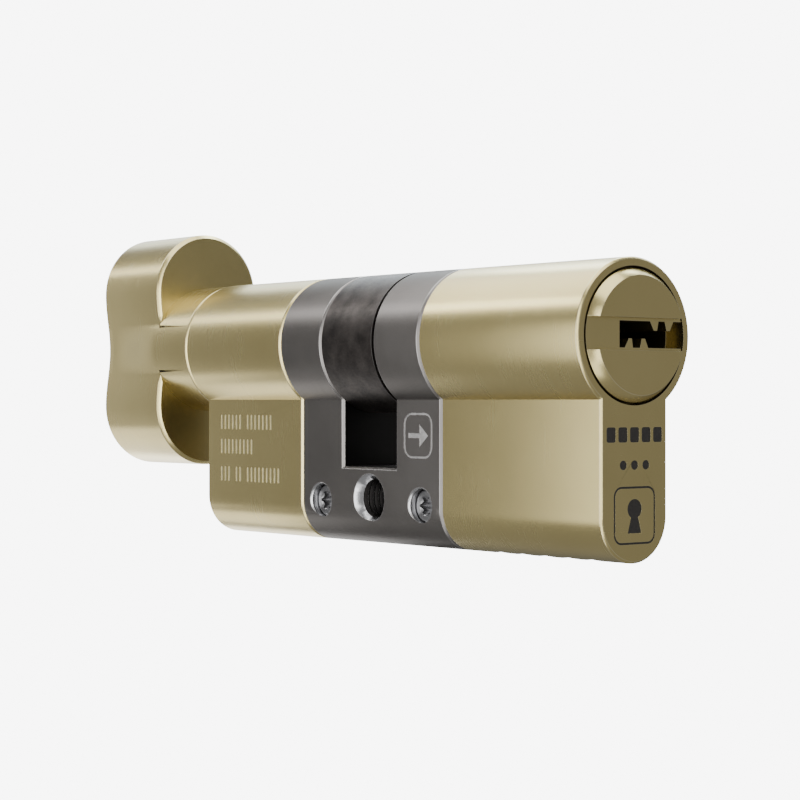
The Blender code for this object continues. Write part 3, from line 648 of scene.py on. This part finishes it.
def external_half():
    start = BRIDGE_HALF + JOINT
    body = solid("key_side_body", half_mesh(start, EXTERNAL_L), BRASS)
    carve(body, [solid("tongue", tongue(+1), BRASS)], "UNION")
    bore = [
        (start - TONGUE_L - EPS, BORE_R),
        (HEAD_SEAT_X, BORE_R),
        (HEAD_SEAT_X, HEAD_BORE_R),
        (EXTERNAL_L + EPS, HEAD_BORE_R),
    ]
    # The bore and the pin chambers leave dark brass walls: painted shade.
    cutters = [solid("bore", turned(bore), RECESS_SHADE_BRASS)]
    for x in PIN_XS:
        chamber = turned([(FOOT_Z - EPS, CHAMBER_R), (-CORE_R + EPS, CHAMBER_R)], HOLE_STEPS, ALONG_Z)
        cutters.append(solid("chamber", chamber, RECESS_SHADE_BRASS, at=(x, 0, 0)))
    for drop in DRILL_PIN_DROPS:
        hole_r = DRILL_PIN_R + SEAM / 2
        profile = [(FLANGE_HALF - DRILL_PIN_L, hole_r), (FLANGE_HALF + EPS, hole_r)]
        hole = turned(profile, HOLE_STEPS, ALONG_Y)
        cutters.append(solid("pin_hole", hole, BRASS, at=(DRILL_PIN_X, 0, -drop)))
    carve(body, cutters + end_face_marks())
    round_edges(body, EDGE, BRASS_EDGE_WEAR_AND_HIGHLIGHT)
    piece(body, "housing", "satin_brass", "external_body")


def internal_half():
    start = BRIDGE_HALF + JOINT
    body = solid("turn_side_body", half_mesh(-INTERNAL_L, -start), BRASS)
    carve(body, [solid("tongue", tongue(-1), BRASS)], "UNION")
    bore = turned([(-INTERNAL_L - EPS, BORE_R), (-start + TONGUE_L + EPS, BORE_R)])
    # The bore leaves dark brass walls: painted shade.
    carve(body, [solid("bore", bore, RECESS_SHADE_BRASS)] + tick_marks())
    # The end face towards the knob takes the near-black brass: painted shade between body and knob.
    paint(body, GAP_SHADE_BRASS, lambda face: face.normal.x < -SQUARE and face.center.x < -INTERNAL_L + EPS)
    round_edges(body, EDGE, BRASS_EDGE_WEAR_AND_HIGHLIGHT)
    piece(body, "housing", "satin_brass", "internal_body")


def slotted_bridge_mesh():
    """The profile from end to end of the bridge, open above the slot's floor between its two rings."""
    bm = prism(euro_outline(), -BRIDGE_HALF, BRIDGE_HALF)
    planes = [
        ((-SLOT_HALF, 0, 0), (1, 0, 0)),
        ((SLOT_HALF, 0, 0), (1, 0, 0)),
        ((0, 0, -SLOT_DEPTH), (0, 0, 1)),
    ]
    for point, normal in planes:
        geometry = bm.verts[:] + bm.edges[:] + bm.faces[:]
        bmesh.ops.bisect_plane(bm, geom=geometry, dist=1e-7, plane_co=point, plane_no=normal)
    upper = []
    for face in bm.faces:
        middle = face.calc_center_median()
        if abs(middle.x) < SLOT_HALF and middle.z > -SLOT_DEPTH:
            upper.append(face)
    bmesh.ops.delete(bm, geom=upper, context="FACES")
    corners = {}
    for vertex in bm.verts:
        at = vertex.co
        if abs(abs(at.x) - SLOT_HALF) < 1e-7 and abs(at.z + SLOT_DEPTH) < 1e-7:
            corners[(at.x > 0, at.y > 0)] = vertex
    for side in (False, True):
        bm.edges.new((corners[(side, False)], corners[(side, True)]))
    open_edges = [edge for edge in bm.edges if edge.is_boundary or edge.is_wire]
    for side in (False, True):
        ring = [edge for edge in open_edges if all((v.co.x > 0) == side for v in edge.verts)]
        bmesh.ops.contextual_create(bm, geom=ring)
    bm.faces.new([corners[key] for key in ((False, False), (True, False), (True, True), (False, True))])
    bmesh.ops.recalc_face_normals(bm, faces=bm.faces)
    rims = [edge for edge in bm.edges if is_bridge_rim(edge)]
    bmesh.ops.bevel(bm, geom=rims, offset=BRIDGE_BEVEL, segments=1, affect="EDGES")
    return bm


def is_bridge_rim(edge):
    """The bridge's end rims, the rings' rims at the slot, and the two long edges of its floor."""
    a, b = (vertex.co for vertex in edge.verts)
    at_end = all(abs(abs(p.x) - BRIDGE_HALF) < 1e-7 for p in (a, b))
    at_ring = all(abs(abs(p.x) - SLOT_HALF) < 1e-7 for p in (a, b)) and a.x * b.x > 0
    on_floor = all(abs(p.z + SLOT_DEPTH) < 1e-7 for p in (a, b))
    across = abs(a.y - b.y) > FLANGE_HALF
    below = min(a.z, b.z) < -SLOT_DEPTH - 1e-7
    along_floor = on_floor and a.x * b.x < 0 and abs(abs(a.y) - FLANGE_HALF) < 1e-7
    return (at_end and not across) or (at_ring and not across and not below) or along_floor


def faces_slot(face):
    """Whether a face of the bridge is one of the slot's two walls."""
    inside = abs(face.center.x) < SLOT_HALF + 0.01 * MM
    return inside and abs(face.normal.x) > SQUARE


def fixing_profile():
    """The crests and roots of the fixing screw's thread, from side to side of the flange."""
    end = FLANGE_HALF + EPS
    points = [(-end, FIXING_R)]
    for i in range(int(2 * FLANGE_HALF / THREAD_PITCH)):
        crest = -FLANGE_HALF + i * THREAD_PITCH
        points += [(crest, FIXING_R), (crest + THREAD_PITCH / 2, FIXING_R + THREAD_DEPTH)]
    return points + [(FLANGE_HALF, FIXING_R), (end, FIXING_R)]


def centre_bridge():
    body = solid("bridge", slotted_bridge_mesh(), BRIDGE)
    bore = turned([(-BRIDGE_HALF - EPS, BORE_R), (BRIDGE_HALF + EPS, BORE_R)])
    reach = CLIP_X + CLIP_GROOVE_L
    recess = turned([(-reach, CLIP_R + SEAM), (reach, CLIP_R + SEAM)])
    thread = turned(fixing_profile(), FIXING_STEPS, ALONG_Y)
    # The bore, recess and fixing hole leave near-black walls: painted shade.
    cutters = [
        solid("bore", bore, BRIDGE_SHADE),
        solid("recess", recess, BRIDGE_SHADE),
        solid("fixing_hole", thread, BRIDGE_SHADE, at=(0, 0, FIXING_Z)),
    ]
    rim_r = FIXING_R + FIXING_RIM
    for side in (+1, -1):
        inner, outer = FLANGE_HALF - FIXING_RIM_DEPTH, FLANGE_HALF + EPS
        rim = [(inner, FIXING_R), (FLANGE_HALF, rim_r), (outer, rim_r)]
        mouth = turned([(side * along, radius) for along, radius in rim], FIXING_STEPS, ALONG_Y)
        cutters.append(solid("countersink", mouth, BRIGHT, at=(0, 0, FIXING_Z)))
    hole_r = CLAMP_R + SEAM / 2
    for side in (+1, -1):
        cutters.append(solid("pocket", tongue(side, SEAM), BRIDGE))
        mouth = hole_r + CLAMP_SUNK / 4
        hole = [
            (-FLANGE_HALF - CLAMP_SUNK, mouth + CLAMP_SUNK),
            (-FLANGE_HALF + CLAMP_SUNK / 4, hole_r),
            (-TONGUE_W / 2, hole_r),
        ]
        at = (side * CLAMP_X, 0, CLAMP_Z)
        cutters.append(solid("clamp_hole", turned(hole, SCREW_STEPS, ALONG_Y), BRIGHT, at=at))
    carve(body, cutters + badge_marks())
    # The slot's two walls are painted near-black: painted shade in the slot.
    paint(body, BRIDGE_SHADE, faces_slot)
    round_edges(body, EDGE, BRIDGE_EDGE_WEAR_AND_HIGHLIGHT)
    piece(body, "housing", "bridge_steel", "centre_bridge")


def lobed_socket(radius, depth, steps=96):
    """A six-lobed driver socket, along +Y from its mouth at the origin."""
    bm = bmesh.new()
    loops = []
    for y in (-EPS, depth):
        loop = []
        for i in range(steps):
            a = 2 * math.pi * i / steps
            r = radius * (0.86 + 0.14 * math.cos(6 * a))
            loop.append(bm.verts.new((r * math.cos(a), y, r * math.sin(a))))
        loops.append(loop)
    wall(bm, loops)
    bm.faces.new(loops[0])
    bm.faces.new(loops[1])
    return bm


def clamp_screw(node, side):
    end = -FLANGE_HALF + CLAMP_SUNK
    point = end + CLAMP_L
    profile = [
        (end, CLAMP_SOCKET_R + 0.25 * MM),
        (end, CLAMP_R - 0.3 * MM),
        (end + 0.1 * MM, CLAMP_R - 0.1 * MM),
        (end + 0.3 * MM, CLAMP_R),
        (point - CLAMP_R / 2, CLAMP_R),
        (point, CLAMP_R / 2),
    ]
    at = (side * CLAMP_X, 0, CLAMP_Z)
    screw = solid(node + "_fine", turned(profile, SCREW_STEPS, ALONG_Y), SCREW, at=at)
    cone = [(-EPS, CLAMP_SOCKET_R + EPS), (SOCKET_RIM, CLAMP_SOCKET_R - SOCKET_RIM)]
    countersink = turned(cone, SCREW_STEPS, ALONG_Y)
    cutters = [
        solid("socket", lobed_socket(CLAMP_SOCKET_R, CLAMP_L / 3), SCREW, at=(at[0], end, at[2])),
        solid("socket_rim", countersink, SCREW, at=(at[0], end, at[2])),
    ]
    carve(screw, cutters)
    round_edges(screw, FINE_EDGE)
    piece(screw, "housing", "bright_steel", node)


def keyway_outline():
    points = [(-KEYWAY_BACK, KEYWAY_LOW)]
    for ward in WARDS_BELOW:
        points += [(y * MM, KEYWAY_LOW + h) for y, h in zip(ward, (0, WARD_H, WARD_H, 0))]
    right = HEAD_R + EPS
    points += [(right, KEYWAY_LOW), (right, KEYWAY_HIGH)]
    for ward in reversed(WARDS_ABOVE):
        points += [(y * MM, KEYWAY_HIGH - h) for y, h in zip(reversed(ward), (0, WARD_H, WARD_H, 0))]
    return points + [(-KEYWAY_BACK, KEYWAY_HIGH)]


def key_plug():
    front = EXTERNAL_L + HEAD_PROUD
    tail = WEB_HALF + 0.2 * MM
    profile = [
        (tail, CORE_R - 0.3 * MM),
        (tail + 0.3 * MM, CORE_R),
        (CLIP_X, CORE_R),
        (CLIP_X, CORE_R - 0.7 * MM),
        (CLIP_X + CLIP_GROOVE_L, CORE_R - 0.7 * MM),
        (CLIP_X + CLIP_GROOVE_L, CORE_R),
        (HEAD_SEAT_X + SEAM, CORE_R),
        (HEAD_SEAT_X + SEAM, HEAD_R),
        (EXTERNAL_L, HEAD_R),
        (front, FACE_R),
    ]
    plug = solid("plug", turned(profile), PLUG_BRASS)
    groove = box(EXTERNAL_L, front + EPS, -HEAD_BORE_R, HEAD_BORE_R, GROOVE_LOW, GROOVE_HIGH)
    # The keyway and pin bores leave dark brass walls: painted shade.
    cutters = [
        solid("groove", groove, PLUG_BRASS),
        solid("keyway", prism(keyway_outline(), KEYWAY_END_X, front + EPS), RECESS_SHADE_BRASS),
    ]
    for x in PIN_XS:
        bore = turned([(-CORE_R - EPS, PIN_BORE_R), (0, PIN_BORE_R)], HOLE_STEPS, ALONG_Z)
        cutters.append(solid("pin_bore", bore, RECESS_SHADE_BRASS, at=(x, 0, 0)))
    half = DOG_W / 2 + SEAM
    slot = box(tail - EPS, CLIP_X - 0.3 * MM, -half, half, -CORE_R - EPS, CORE_R + EPS)
    cutters.append(solid("tail_slot", slot, PLUG_BRASS))
    stem = turned([(CLIP_X - EPS, 1.3 * MM), (KEYWAY_END_X + 1.6 * MM, 1.3 * MM)], HOLE_STEPS)
    cutters.append(solid("stem_bore", stem, PLUG_BRASS))
    for low, high in ((KEYWAY_HIGH + WARD_H, CORE_R + EPS), (-CORE_R - EPS, KEYWAY_LOW - WARD_H)):
        hole_r = DRILL_PIN_R + SEAM / 2
        hole = turned([(low, hole_r), (high, hole_r)], HOLE_STEPS, ALONG_Z)
        cutters.append(solid("plug_pin_hole", hole, PLUG_BRASS, at=(PLUG_PIN_X, 0, 0)))
    carve(plug, cutters)
    round_edges(plug, EDGE, BRASS_EDGE_WEAR_AND_HIGHLIGHT)
    piece(plug, "plug", "satin_brass", "key_plug")


def cam():
    root = math.degrees(math.asin(CAM_ROOT_W / 2 / BARREL_R))
    tip = math.degrees(math.asin(CAM_TIP_W / 2 / CAM_TIP_R))
    hub = arc(0, 0, BARREL_R, root, 360 - root, 100)
    outline = hub + arc(0, 0, CAM_TIP_R, -tip, tip, 16)
    ring = solid("cam_ring_fine", prism(outline, -CAM_HALF, CAM_HALF, END_BEVEL), CAM)
    seats = ((WEB_HALF, CAM_HALF + EPS), (-CAM_HALF - EPS, -WEB_HALF))
    cutters = [solid("seat", turned([(x0, BORE_R), (x1, BORE_R)]), CAM) for x0, x1 in seats]
    half_w, half_h = DOG_W / 2 + SEAM, DOG_H / 2 + SEAM
    web_slot = box(-WEB_HALF - EPS, WEB_HALF + EPS, -half_w, half_w, -half_h, half_h)
    cutters.append(solid("web_slot", web_slot, CAM))
    carve(ring, cutters)
    round_edges(ring, 0.06 * MM, CAM_EDGE_WEAR_AND_HIGHLIGHT)
    piece(ring, "cam_ring", "cam_steel", "cam")


def waist_half(z, blend):
    """Half width of the grip between its lobes; blend is 1 where it meets the boss, 0 at its far end."""
    rise = (1 - math.cos(math.pi * z / LOBE_UP)) / 2
    plain = WAIST_HALF + (LOBE_R - WAIST_HALF) * rise
    boss = math.sqrt(max(BOSS_R**2 - z**2, 0.0))
    return plain + max(boss - plain, 0.0) * blend


def knob_outline(blend):
    steps = 48
    waist = []
    for i in range(1, steps):
        z = LOBE_UP * (1 - 2 * i / steps)
        waist.append((waist_half(z, blend), z))
    left = [(-y, z) for y, z in waist]
    upper = arc(0, LOBE_UP, LOBE_R, 0, 180, 64)
    lower = arc(0, -LOBE_UP, LOBE_R, 180, 360, 64)
    return upper + left + lower + waist[::-1]


def outline_normals(outline):
    """The unit normal at each point of an anticlockwise outline."""
    normals = []
    for i in range(len(outline)):
        before, after = outline[i - 1], outline[(i + 1) % len(outline)]
        along = Vector((after[0] - before[0], after[1] - before[1])).normalized()
        normals.append((along.y, -along.x))
    return normals


def drawn_in(outline, inset):
    normals = outline_normals(outline)
    return [(y - inset * ny, z - inset * nz) for (y, z), (ny, nz) in zip(outline, normals)]


def knob_mesh():
    """The grip, its inner face and the boss in one skin; the waist runs out into the boss's round."""
    bm = bmesh.new()
    outer, last = KNOB_X - KNOB_L, KNOB_X - KNOB_BEVEL
    loops = [[bm.verts.new((outer, y, z)) for y, z in drawn_in(knob_outline(0.0), KNOB_BEVEL)]]
    for i in range(GRIP_STATIONS + 1):
        x = outer + KNOB_BEVEL + (last - outer - KNOB_BEVEL) * i / GRIP_STATIONS
        t = min(max(1 - (last - x) / WAIST_BLEND, 0.0), 1.0)
        loops.append([bm.verts.new((x, y, z)) for y, z in knob_outline(t * t * (3 - 2 * t))])
    rings = [loops[-1]] + inner_face_rings(bm, loops[-1])
    base = rings[-1]
    for x, radius in ((BOSS_X - END_BEVEL, BOSS_R), (BOSS_X, BOSS_R - END_BEVEL)):
        scale = radius / BOSS_R
        rings.append([bm.verts.new((x, v.co.y * scale, v.co.z * scale)) for v in base])
    wall(bm, loops)
    wall(bm, rings)
    bm.faces.new(loops[0])
    bm.faces.new(rings[-1])
    return bm


def inner_face_rings(bm, grip):
    """Chamfer, inner face and foot of the boss; the chamfer fades out where the grip meets the boss."""
    start, rim, base = [], [], []
    outline = [(v.co.y, v.co.z) for v in grip]
    for vertex, (y, z), (ny, nz) in zip(grip, outline, outline_normals(outline)):
        stands_out = math.hypot(y, z) - BOSS_R
        on_boss = stands_out < 1e-5 * BOSS_R
        width = 0.0 if on_boss else min(KNOB_BEVEL, CHAMFER_SHARE * stands_out)
        full = width == KNOB_BEVEL
        start.append(vertex if full else bm.verts.new((KNOB_X - width, y, z)))
        y, z = y - width * ny, z - width * nz
        rim.append(start[-1] if on_boss else bm.verts.new((KNOB_X, y, z)))
        scale = BOSS_R / math.hypot(y, z)
        base.append(rim[-1] if on_boss else bm.verts.new((KNOB_X, y * scale, z * scale)))
    return [start, rim, base]


def thumbturn():
    knob = solid("thumbturn", knob_mesh(), BRASS)
    stub = turned([(BOSS_X - STUB_L, STUB_R), (BOSS_X + EPS, STUB_R)])
    screw_hole = turned([(-BOSS_R - EPS, KNOB_SCREW_R), (-STUB_R, KNOB_SCREW_R)], HOLE_STEPS, ALONG_Z)
    hole = solid("screw_hole", screw_hole, BRASS, at=(KNOB_SCREW_X, 0, 0))
    carve(knob, [solid("stub", stub, BRASS), hole])
    # The grip's inner face, towards the body, takes the darker brass: painted shade.
    paint(knob, LOBE_SHADE_BRASS, lambda face: face.normal.x > SQUARE and face.center.x < KNOB_X + EPS)
    round_edges(knob, EDGE, BRASS_EDGE_WEAR_AND_HIGHLIGHT)
    piece(knob, "knob", "satin_brass", "thumbturn_knob")


def stoppers():
    """The five pressed-in discs under the flange, each with a punched centre."""
    top = STOPPER_BOTTOM_Z + STOPPER_L
    for number, x in enumerate(PIN_XS, 1):
        r = CHAMBER_R - SEAM / 2
        profile = [
            (STOPPER_BOTTOM_Z + 0.12 * MM, 0.15 * MM),
            (STOPPER_BOTTOM_Z, 0.45 * MM),
            (STOPPER_BOTTOM_Z, r - 0.2 * MM),
            (STOPPER_BOTTOM_Z + 0.2 * MM, r),
            (top, r),
        ]
        mesh = turned(profile, HOLE_STEPS, ALONG_Z)
        disc = solid(f"stopper_{number}_fine", mesh, PIN_BRASS, at=(x, 0, 0))
        round_edges(disc, FINE_EDGE)
        piece(disc, "housing", "pin_brass", f"chamber_stopper_{number}")


def flange_pins():
    """The ends of the two hardened pins that show on the flange's +Y side."""
    near = FLANGE_HALF - SEAM
    for name, drop in zip(("upper", "lower"), DRILL_PIN_DROPS):
        profile = [
            (near - DRILL_PIN_L, DRILL_PIN_R),
            (near - 0.15 * MM, DRILL_PIN_R),
            (near, DRILL_PIN_R - 0.15 * MM),
        ]
        at = (DRILL_PIN_X, 0, -drop)
        pin = solid(f"flange_pin_{name}", turned(profile, HOLE_STEPS, ALONG_Y), BRIGHT, at=at)
        round_edges(pin, FINE_EDGE)
        piece(pin, "housing", "bright_steel", f"body_drill_pin_{name}")


def dress_inner_nodes():
    """Procedural metals for the CAD pieces that stay."""
    by_slot = {
        "satin_brass": BRASS,
        "pin_brass": PIN_BRASS,
        "bright_steel": BRIGHT,
        "spring_steel": SPRING,
        "bridge_steel": BRIDGE,
        "cam_steel": CAM,
    }
    for node in frame["nodes"].values():
        if node.hide_render:
            continue
        for index, used in enumerate(node.data.materials):
            base = used.name.split(".")[0]
            node.data.materials[index] = by_slot.get(base, BRIGHT)


# ---------------------------------------------------------------- stage


def soft_box(name, at, facing, along, width, height, radiance, colour):
    """A rectangular lamp at a point, facing a direction, its width lying in the direction along."""
    lamp = bpy.data.lights.new(name, "AREA")
    lamp.shape = "RECTANGLE"
    lamp.size = width * MM
    lamp.size_y = height * MM
    lamp.energy = radiance * math.pi * width * height * MM * MM
    lamp.color = colour
    made = bpy.data.objects.new(name, lamp)
    made.location = at
    away = -facing
    made.rotation_euler = Matrix((along, away.cross(along), away)).transposed().to_euler()
    made.visible_camera = False
    bpy.context.scene.collection.objects.link(made)


def panel(name, x0, x1, angle0, angle1, reach, radiance, colour=(1, 1, 1)):
    """A soft box from x0 to x1 mm, between two angles round X: 0 is in front, 90 above, 180 behind."""
    middle = math.radians((angle0 + angle1) / 2)
    half = math.radians((angle1 - angle0) / 2)
    outward = Vector((0, -math.cos(middle), math.sin(middle)))
    at = Vector(((x0 + x1) / 2, 0, 0)) * MM + outward * reach * MM
    across = 2 * reach * math.tan(half)
    soft_box(name, at, -outward, Vector((1, 0, 0)), x1 - x0, across, radiance, colour)


def card(name, azimuth, elevation, distance, width, height, radiance, colour=(1, 1, 1)):
    """A soft box that faces the key face: azimuth 0 is towards -Y, 90 towards +X."""
    a, e = math.radians(azimuth), math.radians(elevation)
    outward = Vector((math.sin(a) * math.cos(e), -math.cos(a) * math.cos(e), math.sin(e)))
    at = Vector((EXTERNAL_L, 0, 0)) + outward * distance * MM
    along = Vector((math.cos(a), math.sin(a), 0))
    soft_box(name, at, -outward, along, width, height, radiance, colour)


def lights():
    cool = (0.86, 0.95, 1.0)
    panel("strip_key", -145, -60, 46, 58, 120, 8.0)
    panel("strip_turn", -300, -145, 46, 58, 120, 4.2)
    panel("top_right", -61, 90, 60, 105, 60, 3.0)
    panel("top_left", -250, -110, 62, 108, 90, 0.1)
    panel("back_top", -370, 35, 112, 150, 160, 2.8, cool)
    panel("back_band", -145, 30, 117, 130, 150, 6.5, cool)
    panel("back_low", -370, 0, 150, 178, 165, 0.6, cool)
    panel("low_left", -115, -63, -92, -62, 60, 1.9)
    panel("low_knob", -200, -120, -128, -46, 60, 1.9)
    panel("low_back", -200, -52, -172, -106, 60, 2.8)
    panel("front_right", -28, 50, -32, 18, 70, 2.4)
    panel("far_left", -300, -136, -40, 40, 60, 0.6)
    card("key_card", 41, 0, 1200, 420, 1900, 3.6)
    card("low_card", 23.5, -49, 250, 90, 110, 2.4)


def world():
    made = bpy.data.worlds.new("studio")
    made.use_nodes = True
    tree = made.node_tree
    tree.nodes.clear()
    seen = tree.nodes.new("ShaderNodeBackground")
    seen.inputs["Color"].default_value = (*PALE, 1)
    seen.inputs["Strength"].default_value = PALE_STRENGTH
    around = tree.nodes.new("ShaderNodeBackground")
    around.inputs["Color"].default_value = (1.0, 1.0, 1.0, 1)
    place = tree.nodes.new("ShaderNodeTexCoord")
    split = tree.nodes.new("ShaderNodeSeparateXYZ")
    link(tree, place.outputs["Generated"], split.inputs[0])
    leftward = math_node(tree, "MULTIPLY", split.outputs["X"], -0.5)
    behind = math_node(tree, "ADD", split.outputs["Y"], leftward)
    link(tree, spread(tree, behind, AMBIENT, AMBIENT_BEHIND, 0.55, 1.1), around.inputs["Strength"])
    path = tree.nodes.new("ShaderNodeLightPath")
    mix = tree.nodes.new("ShaderNodeMixShader")
    out = tree.nodes.new("ShaderNodeOutputWorld")
    link(tree, path.outputs["Is Camera Ray"], mix.inputs["Fac"])
    link(tree, around.outputs[0], mix.inputs[1])
    link(tree, seen.outputs[0], mix.inputs[2])
    link(tree, mix.outputs[0], out.inputs["Surface"])
    bpy.context.scene.world = made


def pale_floor():
    """A plain pale floor below the object, as bright as the background."""
    bm = bmesh.new()
    bmesh.ops.create_circle(bm, cap_ends=True, segments=96, radius=0.45)
    floor = solid("floor", bm, at=(0, 0, -0.14))
    material = bpy.data.materials.new("floor_pale")
    material.use_nodes = True
    tree = material.node_tree
    tree.nodes.clear()
    glow = tree.nodes.new("ShaderNodeEmission")
    glow.inputs["Color"].default_value = (*PALE, 1)
    glow.inputs["Strength"].default_value = PALE_STRENGTH
    out = tree.nodes.new("ShaderNodeOutputMaterial")
    link(tree, glow.outputs[0], out.inputs["Surface"])
    floor.data.materials.append(material)
    floor.visible_glossy = False
    floor.visible_diffuse = False
    floor.visible_shadow = False


def camera():
    lens = bpy.data.cameras.new("camera")
    lens.lens = LENS
    lens.sensor_width = SENSOR
    lens.clip_start = 0.01
    made = bpy.data.objects.new("camera", lens)
    made.location = CAMERA_AT
    made.rotation_euler = (math.radians(90), 0, math.radians(CAMERA_AZIMUTH))
    bpy.context.scene.collection.objects.link(made)
    bpy.context.scene.camera = made


external_half()
internal_half()
centre_bridge()
clamp_screw("clamp_screw_external", +1)
clamp_screw("clamp_screw_internal", -1)
key_plug()
cam()
thumbturn()
stoppers()
flange_pins()
dress_inner_nodes()
lights()
world()
pale_floor()
camera()
